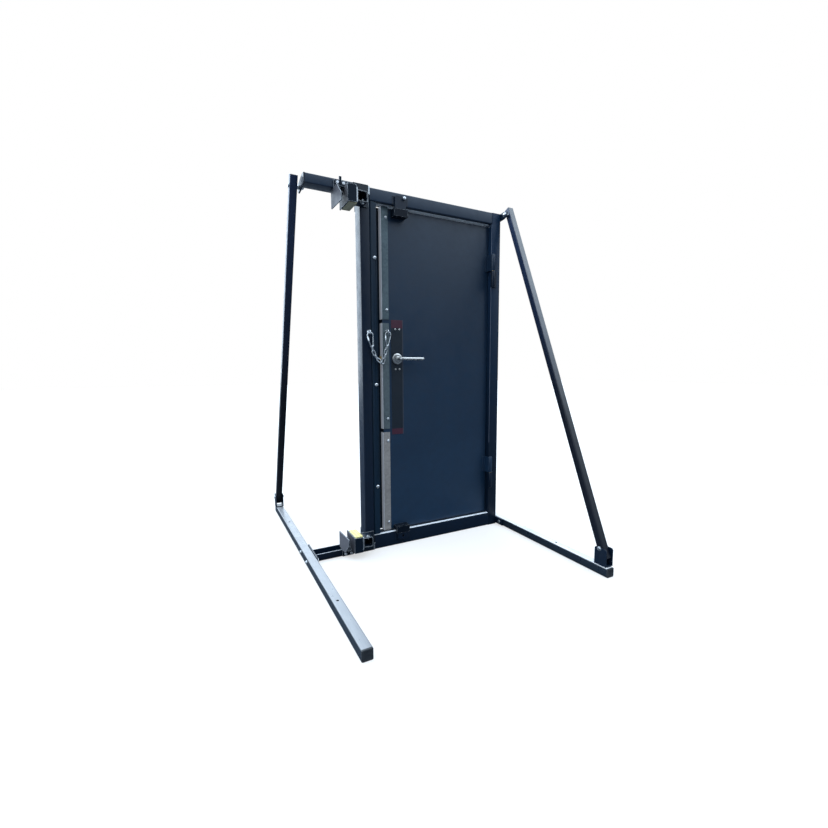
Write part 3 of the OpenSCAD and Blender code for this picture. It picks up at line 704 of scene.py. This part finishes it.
def beam_cap(name, x, y, out, node):
    """Dished plug on a beam's end; out is -1 for the front and 1 for the rear."""
    bm = bmesh.new()
    add_rings(bm, [[at(x + a, y + out * step, BEAM_HALF + b)
                    for a, b in rounded_rect(2 * half, 2 * half, r)]
                   for step, half, r in CAP_PROFILE], cap_first=True, cap_last=True)
    y0, y1 = sorted((y - out * 0.4, y - out * 24))
    for x0, x1, z0, z1 in CAP_RIBS:
        add_box(bm, (x + x0, y0, BEAM_HALF + z0), (x + x1, y1, BEAM_HALF + z1))
    build(name, bm, CAP, "frame", node=node)


for side, x, finish in (("left", -1350, LEFT_BEAM), ("right", 37, BEAM)):
    first = side == "left"
    tube(f"ground_beam_{side}", (x - BEAM_HALF, BEAM_FRONT, 0),
         (x + BEAM_HALF, BEAM_REAR, BEAM_SIZE), 1, wall=3, radius=5.5, finish=finish,
         body="frame", holes=[((x, y, BEAM_HALF), (0, 0, 1), 6.5, 120) for y in BEAM_HOLES_Y],
         node="ground_beams" if first else None)
    beam_cap(f"beam_cap_{side}_front", x, BEAM_FRONT, -1, "beam_caps" if first else None)
    beam_cap(f"beam_cap_{side}_rear", x, BEAM_REAR, 1, None)

# ---------------------------------------------------------------- braces and their feet
BRACE_HALF = 21
# side: top bolt, bottom bolt, how far the tube runs past each
BRACES = {
    "left": (Vector((-1350, 116, 2121)), Vector((-1350, 1009, 122)), 58, 48),
    "right": (Vector((45, -44, 2135)), Vector((45, -862, 142)), 46, 58),
}
for side, (top, bottom, past_top, past_bottom) in BRACES.items():
    length = (bottom - top).length
    lean = math.atan2(bottom.y - top.y, top.z - bottom.z)
    tube(f"brace_{side}", (-BRACE_HALF, -BRACE_HALF, -length - past_bottom),
         (BRACE_HALF, BRACE_HALF, past_top), 2, wall=3, radius=5, finish=BRACE, body="frame",
         holes=[((0, 0, z), RIGHT, 6.2, 90) for z in (0, -length)],
         pose=Matrix.Translation(top / 1000) @ Matrix.Rotation(lean, 4, "X"),
         node="braces" if side == "left" else None)

FOOT_INNER, FOOT_OUTER = 22.5, 27.5  # faces of the ears, from the middle
EAR_RADIUS = 12
EAR_SHOULDER = 148 - EAR_RADIUS
# side, middle x, front y, rear y
FEET = (("left", -1350, 968, 1040), ("right", 45, -908, -832))


def foot(side, x, y0, y1):
    """Folded U bracket with rounded ears, standing on the beam."""
    outline = [(y0, BEAM_SIZE), (y1, BEAM_SIZE), (y1, EAR_SHOULDER)]
    for cy, start in ((y1 - EAR_RADIUS, 0), (y0 + EAR_RADIUS, 90)):
        outline += arc(cy, EAR_SHOULDER, EAR_RADIUS, [start + 15 * i for i in range(7)])
    outline.append((y0, EAR_SHOULDER))
    bm = bmesh.new()
    add_prism(bm, outline, x - FOOT_OUTER, x - FOOT_INNER)
    add_prism(bm, outline, x + FOOT_INNER, x + FOOT_OUTER)
    add_box(bm, (x - 22.6, y0 + 2, 50.1), (x + 22.6, y1 - 2, 55))
    build(f"foot_{side}", bm, BLUE, "frame", bevel=0.9,
          node="foot_brackets" if side == "left" else None)


for row in FEET:
    foot(*row)
for side, x, *ends in FEET:
    for i, y in enumerate(ends):
        bead(f"foot_bead_{side}_{i}", (x - 19, y, 50.8), (x + 19, y, 50.8), 2.0)

left_top, right_top = BRACES["left"][0], BRACES["right"][0]
through_bolt("brace_bolt_top_left", (-1372, left_top.y, left_top.z), RIGHT, head=7, grip=70,
             tail=12, node="brace_bolts")
through_bolt("brace_bolt_top_right", (66.5, right_top.y, right_top.z), LEFT, head=7, grip=66.5,
             tail=12)
for side, (_, p, _, _) in BRACES.items():
    through_bolt(f"brace_bolt_foot_{side}", (p.x - FOOT_OUTER, p.y, p.z), RIGHT, head=7.6,
                 grip=2 * FOOT_OUTER, tail=12)
for side, x, top, length in (("left", -1329, left_top, 11), ("right", 8, right_top, 16)):
    bm = bmesh.new()
    lathe(bm, [(6.2, 0.3), (10.6, 0), (11, 0.4), (11, length - 0.4), (10.6, length),
               (6.2, length - 0.3)], place((x, top.y, top.z), RIGHT))
    build(f"brace_spacer_{side}", bm, ZINC, "frame",
          node="brace_spacers" if side == "left" else None)
keep("brace_ears", BLUE, bevel=1.2)
for letter, y, node in (("a", -35, "flange_bolts"), ("b", 115, None)):
    through_bolt(f"flange_bolt_left_{letter}", (-1317, y, 26), LEFT, head=8, grip=58, tail=8.5,
                 node=node)
    through_bolt(f"flange_bolt_right_{letter}", (0, y, 26), RIGHT, head=8, grip=62, tail=8.5)
keep("beam_flanges", BLUE, bevel=1.0)

# ---------------------------------------------------------------- door frame
FRAME_TOP, FRAME_DEPTH, FRAME_LEFT = 2150, 80, -945
JAMB_WIDTH = 72
SILL_TOP = 92
HEADER_BOTTOM = FRAME_TOP - JAMB_WIDTH
RAIL_RIGHT = -953
BRACKET_X = (-1136, -1101)  # bolts of the block holders
BRACKET_Z = (14, 2136)

SECTION = dict(wall=4, radius=6, body="frame")
tube("header_tube", (FRAME_LEFT, 0, HEADER_BOTTOM), (-JAMB_WIDTH, FRAME_DEPTH, FRAME_TOP), 0,
     finish=HEADER, closed=FRAME_LEFT + 1, node="header", **SECTION)
tube("sill_tube", (FRAME_LEFT, 0, 0), (-JAMB_WIDTH, FRAME_DEPTH, SILL_TOP), 0, finish=SILL,
     closed=FRAME_LEFT + 1, node="sill", **SECTION)
tube("jamb_tube", (-JAMB_WIDTH, 0, 0), (0, FRAME_DEPTH, FRAME_TOP), 2, finish=JAMB,
     closed=FRAME_TOP - 1, node="hinge_jamb", **SECTION)
tube("header_rail_tube", (-1310, 0, 2107), (RAIL_RIGHT, FRAME_DEPTH, 2158), 0, wall=4, radius=5,
     finish=HEADER, body="frame", holes=[((x, 0, BRACKET_Z[1]), BACK, 5.2, 30) for x in BRACKET_X],
     node="header_rail")


def sill_rail():
    """Channel open at the top, with eased lips and rolled bottom corners."""
    wall, bend, rim, ease = 4, 6, 43, 0.6
    depth = FRAME_DEPTH
    inner, rear = bend - wall, depth - bend

    def rolled(cy, radius, start, turn):
        return arc(cy, bend, radius, [start + turn * a for a in (20, 45, 70)])

    outline = [(0, 42.4), (ease, rim), (3.4, rim), (wall, 42.4), (wall, bend)]
    outline += rolled(bend, inner, 180, 1) + rolled(rear, inner, 270, 1)
    outline += [(76, bend), (76, 42.4), (76.6, rim), (79.4, rim), (depth, 42.4), (depth, bend)]
    outline += rolled(rear, bend, 360, -1) + [(rear, 0), (bend, 0)]
    outline += rolled(bend, bend, 270, -1) + [(0, bend)]
    bm = bmesh.new()
    add_prism(bm, outline, -1317, RAIL_RIGHT)
    build("sill_rail_channel", bm, SILL, "frame", node="sill_rail")


sill_rail()
keep("rail_flanges", ZINC, bevel=1.0)
keep("stop_pads", BLUE, bevel=0.5)
# corner welds, ground nearly flush: name, start, end, radius
for name, start, end, radius in (
    ("head_a", (-72.3, 1.2, 2080.5), (-72.3, 78, 2080.5), 1.9),
    ("sill_a", (-72.3, 3, 91.6), (-72.3, 77, 91.6), 1.9),
    ("head_b", (-71.8, 3, 2149.2), (-71.8, 77, 2149.2), 1.9),
    ("jamb_head", (-72.2, 0.6, 2083), (-72.2, 0.6, 2146), 1.3),
    ("jamb_sill", (-72.2, 0.6, 5), (-72.2, 0.6, 88), 1.3),
):
    bead(f"weld_{name}", start, end, radius)

# ---------------------------------------------------------------- block holders
BLOCK_LEFT, BLOCK_RIGHT = -1102, -1054

keep("stop_brackets", BRACKET, bevel=0.9)
for i, (x, z) in enumerate((x, z) for z in BRACKET_Z for x in BRACKET_X):
    tapped_bolt(f"bracket_bolt_{i}", (x, -8, z), (x, 4, z), FRONT, (8.4, 1.2, 8, 4.8, 7.6, 1.25),
                PALE_LIT_ZINC, "frame", None if i else "bracket_bolts")


def wood_block(name, z0, z1, node):
    """Sawn block with eased edges and slightly uneven faces."""
    bm = bmesh.new()
    add_box(bm, (BLOCK_LEFT, -88, z0), (BLOCK_RIGHT, 33, z1))
    bmesh.ops.bevel(bm, geom=bm.edges[:], offset=0.0018, segments=2, affect="EDGES", profile=0.6)
    long_edges = [e for e in bm.edges if e.calc_length() > 0.03]
    bmesh.ops.subdivide_edges(bm, edges=long_edges, cuts=14, use_grid_fill=True)
    for v in bm.verts:
        wave = noise.noise(Vector((v.co.x * 70, v.co.y * 9, v.co.z * 70)))
        fibre = noise.noise(Vector((v.co.x * 300, v.co.y * 20 + 7, v.co.z * 300)))
        v.co += v.normal * (0.00028 * wave + 0.00012 * fibre - 0.0003)
    o = build(name, bm, WOOD, "frame", angle=50, node=node)
    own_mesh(o)


wood_block("wood_bottom", 49, 140, "wood_block_bottom")
wood_block("wood_top", 2010, 2101, "wood_block_top")

# ---------------------------------------------------------------- latch post
tube("post_tube", (-1006, -2, 45), (-948, 82, 2103), 2, wall=4, radius=5, finish=BLUE,
     body="post", node="latch_post")
keep("post_stop_bar", BAR, bevel=1.4, segments=3)
keep("slider_cheeks", SCRAPED_POWDER, bevel=1.0)
keep("push_plates", ZINC, bevel=0.8)
# bottom, top, the face its bolt sits on, and which way that face looks
for i, (z0, z1, face, up) in enumerate(((64, 122, 122, 1), (2028, 2086, 2028, -1))):
    tube(f"pusher_{i}", (-1048, -88, z0), (-990, -10, z1), 1, wall=4, radius=6,
         finish=SCRAPED_POWDER, body="post", node=None if i else "pusher_tubes")
    tapped_bolt(f"pusher_bolt_{i}", (-1014, -70, face), (-1014, -70, face - up * 4), (0, 0, up),
                (11, 1.6, 9, 6.2, 12, 1.5), ZINC, "post", None if i else "pusher_bolts")
button_heads("post_bolt", [(11.0, 0.0), (11.0, 1.6), (10.6, 2.4), (9.4, 4.0), (7.4, 5.6),
                           (5.2, 6.5), (3.6, 6.9), (3.4, 6.8), (3.2, 4.2), (0, 4.0)], 40,
             [(-918, 2, z) for z in (1764, 1024, 397)], "post", "post_bolts")

# ---------------------------------------------------------------- leaf
for node, finish, bevel in (
    ("leaf_frame", DARK, 0.7), ("leaf_skins", LEAF, 0.6), ("lock_plate", LOCK_PLATE, 0.5),
    ("lock_case", GALVANISED, 0.7), ("latch_bolt", BRASS, 0.6), ("stop_housings", HOUSING, 1.0),
    ("stop_tongue_top", BLUE, 0.8), ("stop_tongue_bottom", BLUE, 0.8),
    ("hinge_leaf_halves", LEAF, 0.9), ("hinge_jamb_halves", BLUE, 0.9),
    ("spindle", GALVANISED, 0.4), ("hinge_washers", BRASS, 0.3), ("hinge_pins", ZINC, 0.5),
):
    keep(node, finish, bevel)


def strip(name, z0, z1, finish):
    """Folded angle: a front flange, and a side flange round the leaf's edge."""
    left, right, front, back = -864, -818, 33, 68
    thick, fold = 3, 3.2
    section = [(left, back), (left, front + fold)]
    section += arc(left + fold, front + fold, fold, [180 + a for a in (22, 45, 68)])
    section += [(left + fold, front), (right - 0.6, front), (right, front + 0.6),
                (right, front + thick), (left + thick, front + thick), (left + thick, back)]
    rings = []
    for z in (z0, z0 + 0.8, z0 + 8, z1 - 8, z1 - 0.8, z1):
        ring = []
        for x, y in section:
            if z in (z0, z1):  # eased ends
                y = min(y, back - 0.6)
                x = x + 0.3 if x < left + 1 else x
                x = min(x, right - 0.7)
            ring.append(at(x, y, z))
        rings.append(ring)
    bm = bmesh.new()
    add_rings(bm, rings, cap_first=True, cap_last=True)
    o = build(name, bm, finish, "leaf", angle=30)
    # The fold and the side flange are scraped bright, and their pale base and glow are also painted
    # light.
    o.data.materials.append(SCRAPED_AND_GLOWING.material)  # the fold and the side flange are scraped bright
    for p in o.data.polygons:
        if p.normal.x < -0.25:
            p.material_index = 1
    return o


low_strip = strip("edge_strip_low", 95, 726, STRIP_LOW)
mid_strip = strip("edge_strip_mid", 748, 1396, STRIP_MID)
strip("edge_strip_top", 1418, 2073, STRIP_TOP)
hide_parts("edge_strips")
latch_slot = bmesh.new()  # lets the latch bolt through the side flange
add_box(latch_slot, (-870, 46.9, 1164.9), (-858, 65.1, 1197.1))
cut(mid_strip, latch_slot, angle=30)

button_heads("strip_bolt", [(9.5, 0.0), (9.5, 1.2), (9.0, 2.0), (7.8, 3.2), (5.6, 4.3),
                            (3.3, 4.9), (3.0, 4.8), (2.8, 2.9), (0, 2.8)], 36,
             [(-831, 33, z) for z in (2012, 1474, 809, 670, 145)], "leaf", "strip_bolts")
LOCK_FACE = 34.5
button_heads("lock_screw", [(6.2, 0.0), (6.2, 0.6), (5.7, 1.6), (4.4, 2.7), (2.4, 3.35),
                            (2.1, 3.3), (1.9, 1.9), (0, 1.8)], 28,
             [(x, LOCK_FACE, z) for z in (1360, 1116) for x in (-775, -748)], "leaf",
             "lock_screws", finish=STAINLESS)

# ---------------------------------------------------------------- rose, lever and stop knob
LEVER_X, LEVER_Z = -764, 1181
LEVER_END = -614
LEVER_RADIUS = 9.9
ELBOW_Y, ELBOW_RADIUS = -8, 16


def rose():
    """Round plate with a turned step and a bore for the lever."""
    bm = bmesh.new()
    lathe(bm, [(10.05, 0.2), (33.6, 0), (34, 0.5), (34, 4.6), (33.5, 6.0), (32.2, 7.6),
               (30.2, 8.8), (27.4, 9.6), (24.6, 9.9), (24.0, 10.1), (23.4, 9.9), (18, 10.6),
               (13.6, 11.0), (12.2, 12.0), (11.0, 12.0), (10.05, 11.4)],
          place((LEVER_X, LOCK_FACE, LEVER_Z), FRONT), n=64)
    build("rose_plate", bm, STAINLESS, "leaf", angle=50, node="rose")


def lever():
    """Round bar with a swept elbow, a domed end and a collar at the rose."""
    points = [at(LEVER_X, y, LEVER_Z) for y in (34, 26, 10, ELBOW_Y)]
    for i in range(1, 9):
        a = math.radians(90 * i / 9)
        points.append(at(LEVER_X + ELBOW_RADIUS - ELBOW_RADIUS * math.cos(a),
                         ELBOW_Y - ELBOW_RADIUS * math.sin(a), LEVER_Z))
    grip_x, grip_y = LEVER_X + ELBOW_RADIUS, ELBOW_Y - ELBOW_RADIUS
    for i in range(15):
        points.append(at(grip_x + (LEVER_END - grip_x) * i / 14, grip_y, LEVER_Z))
    bm = bmesh.new()
    sweep(bm, points, LEVER_RADIUS, n=28)
    lathe(bm, [(LEVER_RADIUS, 0), (9.7, 2.4), (9.0, 5.2), (7.6, 7.6), (5.4, 9.2), (2.8, 10.0),
               (0.0, 10.2)], place((LEVER_END, grip_y, LEVER_Z), RIGHT), n=28, cap=False)
    lathe(bm, [(0, 0), (LEVER_RADIUS, 0.0)], place((LEVER_X, 34, LEVER_Z), FRONT), n=28,
          cap=False)
    lathe(bm, [(9.95, 0), (11.3, 0.2), (11.6, 1.0), (11.6, 2.6), (11.3, 3.4), (9.95, 3.6)],
          place((LEVER_X, 22.3, LEVER_Z), FRONT), n=40)
    build("lever_handle", bm, STAINLESS, "handle", angle=50, node="lever")


def stop_knob():
    """Mushroom knob with a turned groove, on the top stop."""
    bm = bmesh.new()
    lathe(bm, [(6, 0), (6, 4.2), (6.6, 4.9), (9.2, 5.2), (10, 6.2), (10, 7.2), (9.6, 7.6),
               (10, 8.0), (10, 9.6), (9.3, 11.0), (7.2, 11.8), (0, 12.0)],
          place((-732, -12, 2119), FRONT), n=40)
    build("stop_knob", bm, ZINC, "tongue_top", angle=50,
          node="stop_knob_top")


rose()
lever()
stop_knob()

# ---------------------------------------------------------------- hinges: weld beads and caps
HINGE_CAP = [(0, -0.3), (12.4, -0.3), (12.7, 0.3), (12.4, 0.9), (10.6, 1.3), (10.2, 2.1),
             (8.6, 3.6), (5.2, 5.2), (2.0, 6.2), (0, 6.5)]
# foot of the hinge, height of each half
for i, (z, h) in enumerate(((1666, 104), (284, 106))):
    bead(f"hinge_bead_jamb_{i}", (-34, -0.4, z + 4), (-34, -0.4, z + h - 4), 1.8)
    bead(f"hinge_bead_leaf_{i}", (-98.3, 35.4, z + h + 6), (-98.3, 35.4, z + 2 * h - 2), 1.6,
         "leaf", LEAF)
    for letter, height in (("a", z + h + 2.4), ("b", z + 2 * h + 1.7)):
        bead(f"hinge_bead_leaf_{i}{letter}", (-97, 35.4, height), (-83, 35.4, height), 1.3,
             "leaf", LEAF)
    for end, height, up, body, finish in (("top", z + 2 * h + 2.05, 1, "leaf", LEAF),
                                          ("foot", z, -1, "frame", BLUE)):
        bm = bmesh.new()
        lathe(bm, HINGE_CAP, place((-70, -14, height), (0, 0, up)), n=32)
        build(f"hinge_cap_{end}_{i}", bm, finish, body, angle=50)

# ---------------------------------------------------------------- safety chain
for part in ("chain_eye", "snap", "snap_gate", "chain_links"):
    for side in ("post", "leaf"):
        keep(f"{part}_{side}", ZINC)

LINK_PITCH, LINKS = 28, 4
SNAP_LENGTH, LINK_SLACK = 60, 3.4


def chain_end(x, z, snap_lean, first_lean, lean_step):
    """Last inner end (x, z) of the links below a snap; each leans a step more, in degrees."""
    a, b = math.radians(snap_lean), math.radians(first_lean)
    x += SNAP_LENGTH * math.sin(a) + LINK_SLACK * math.sin(b)
    z = z - SNAP_LENGTH * math.cos(a) - LINK_SLACK * math.cos(b)
    for i in range(LINKS):
        a = math.radians(first_lean + lean_step * i)
        x += LINK_PITCH * math.sin(a)
        z -= LINK_PITCH * math.cos(a)
    return x, z


def joining_link():
    """One link that stands across the ends of the two halves of chain; in metres."""
    bend, slack = 0.0080, 0.0033
    post_x, post_z = chain_end(-961, 1314, snap_lean=8.3, first_lean=14, lean_step=12)
    leaf_x, leaf_z = chain_end(-832, 1324, snap_lean=-7, first_lean=-12, lean_step=-2)
    start, end = at(post_x, -17, post_z), at(leaf_x, 16, leaf_z)
    along = (end - start).normalized()
    side = along.cross(Vector((0, 0, 1))).normalized()
    upward = side.cross(along).normalized()  # the link's short way, nearly upright
    straight = (end - start).length / 2 + slack - bend
    middle = (start + end) / 2
    points = []
    for sign, first in ((1, -90), (-1, 90)):
        for i in range(25):
            a = math.radians(first + 180 * i / 24)
            points.append(middle + along * (sign * straight + bend * math.cos(a))
                          + upward * (bend * math.sin(a)))
    bm = bmesh.new()
    sweep(bm, points, 2.9, n=18, cyclic=True)
    build("chain_joining_link", bm, ZINC, "leaf", angle=70)


joining_link()


# ---------------------------------------------------------------- floor
def studio_floor():
    """Floor pale to the eye with faint shadows, but darker in reflections and bounces."""
    bm = bmesh.new()
    bmesh.ops.create_grid(bm, x_segments=1, y_segments=1, size=30)
    mesh = bpy.data.meshes.new("studio_floor")
    bm.to_mesh(mesh)
    bm.free()
    material = bpy.data.materials.new("studio_floor")
    g = Graph(material)
    seen = g.node("BsdfDiffuse", {"Color": (0.9, 0.9, 0.9)}).outputs[0]
    bounce = g.node("BsdfDiffuse", {"Color": (0.09, 0.10, 0.115)}).outputs[0]
    glow = g.node("Emission", {"Color": (1, 1, 1), "Strength": 1.0}).outputs[0]
    soft = g.node("MixShader", {0: 0.55, 1: seen, 2: glow}).outputs[0]
    camera_ray = g.node("LightPath").outputs["Is Camera Ray"]
    pick = g.node("MixShader", {0: camera_ray, 1: bounce, 2: soft}).outputs[0]
    g.node("OutputMaterial", {0: pick})
    mesh.materials.append(material)
    o = bpy.data.objects.new("studio_floor", mesh)
    o.location.z = -0.001
    bpy.context.scene.collection.objects.link(o)
    o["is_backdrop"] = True


# ---------------------------------------------------------------- world
def studio_world():
    """White to the camera; to all else a bright opening behind to the left, in a dim room."""
    world = bpy.data.worlds.new("studio")
    bpy.context.scene.world = world
    g = Graph(world)
    ray = g.node("TexCoord").outputs["Generated"]
    x, y, z = g.axes(ray)

    def towards(*direction):
        """Cosine between a ray and a direction."""
        return g.dot(ray, Vector(direction).normalized())

    def lobe(value, start, end, strength):
        return g.ramp(value, 0.0, strength, start, end, interpolation_type="SMOOTHSTEP")

    opening = lobe(towards(-0.42, 0.85, 0.22), start=0.40, end=0.90, strength=3.0)
    light = g.math("ADD", opening, 0.035)
    for value, start, end, strength in (
        (y, 0.15, 0.85, 0.8),  # behind
        (z, 0.45, 0.95, 1.8),  # overhead
        (z, 0.02, 0.40, 0.30),  # all round, above the horizon
        (towards(0.6, -0.5, 0.62), 0.80, 1.0, 2.4),  # window to the front right, up high
        (g.times(x, -1.0), 0.35, 0.85, 1.6),  # left
    ):
        light = g.math("ADD", light, lobe(value, start, end, strength))
    room = g.node("Background", {"Color": (0.74, 0.87, 1.0), "Strength": light}).outputs[0]
    white = g.node("Background", {"Color": (1, 1, 1), "Strength": 1.0}).outputs[0]
    camera_ray = g.node("LightPath").outputs["Is Camera Ray"]
    mix = g.node("MixShader", {0: camera_ray, 1: room, 2: white}).outputs[0]
    g.node("OutputWorld", {0: mix})


# ---------------------------------------------------------------- light and camera
def softbox():
    """Soft rectangular light, up high in front; metres and watts."""
    place_, target = Vector((-0.6, -2.2, 4.8)), Vector((0, 0, 0.8))
    light = bpy.data.lights.new("softbox_top", "AREA")
    light.shape = "RECTANGLE"
    light.size, light.size_y = 2.6, 2.0
    light.energy = 12
    light.color = (1, 1, 1)
    o = bpy.data.objects.new("softbox_top", light)
    o.location = place_
    o.rotation_euler = (target - place_).to_track_quat("-Z", "Y").to_euler()
    bpy.context.scene.collection.objects.link(o)


def camera():
    """Camera to the front left; yaw turns it from +Y to +X, pitch tips it down (radians)."""
    yaw, pitch, roll = 0.477944258, 0.106267925, -0.00513170786
    ahead = Vector((math.sin(yaw) * math.cos(pitch), math.cos(yaw) * math.cos(pitch),
                    -math.sin(pitch)))
    level = Vector((math.cos(yaw), -math.sin(yaw), 0))
    upright = level.cross(ahead)
    right = math.cos(roll) * level + math.sin(roll) * upright
    up = -math.sin(roll) * level + math.cos(roll) * upright
    lens = bpy.data.cameras.new("camera")
    lens.sensor_width = 36
    lens.lens = 18.1311642
    lens.clip_start, lens.clip_end = 0.05, 200
    o = bpy.data.objects.new("camera", lens)
    turn = Matrix((right, up, -ahead)).transposed().to_4x4()
    o.matrix_world = Matrix.Translation(at(-1874.44, -2333.21, 1114.57)) @ turn
    bpy.context.scene.collection.objects.link(o)
    bpy.context.scene.camera = o


studio_floor()
studio_world()
softbox()
camera()
bpy.context.scene.view_settings.view_transform = "Standard"
bpy.context.scene.view_settings.look = "None"

low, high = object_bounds()
